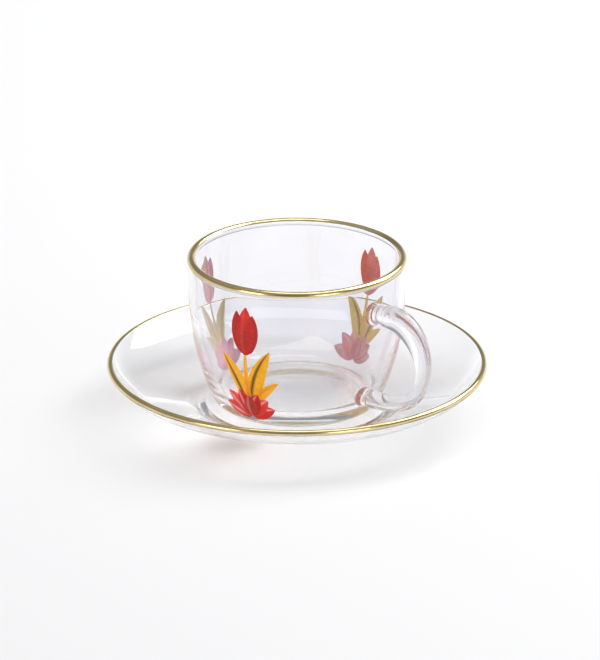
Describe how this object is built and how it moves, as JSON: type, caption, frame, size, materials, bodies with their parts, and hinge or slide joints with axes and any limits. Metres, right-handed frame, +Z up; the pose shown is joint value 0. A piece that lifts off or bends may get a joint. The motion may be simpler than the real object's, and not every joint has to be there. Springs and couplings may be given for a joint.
{
  "type": "glass cup and saucer",
  "caption": "Clear glass coffee cup with a drawn rod handle and gilded lip, standing empty on its shallow clear glass saucer with a gilded rim.",
  "frame": {"origin": "middle of the face that the saucer rests on", "axes": "+Z up, +X from the cup's middle towards its handle"},
  "size_m": [0.1502, 0.1502, 0.0649],
  "materials": {
    "clear_glass": "clear polished borosilicate glass",
    "gilding": "bright fired-on pale gold, burnished"
  },
  "bodies": {
    "root": {"saucer": "clear_glass", "saucer_gilding": "gilding", "cup": "clear_glass", "cup_gilding": "gilding"}
  },
  "joints": []
}
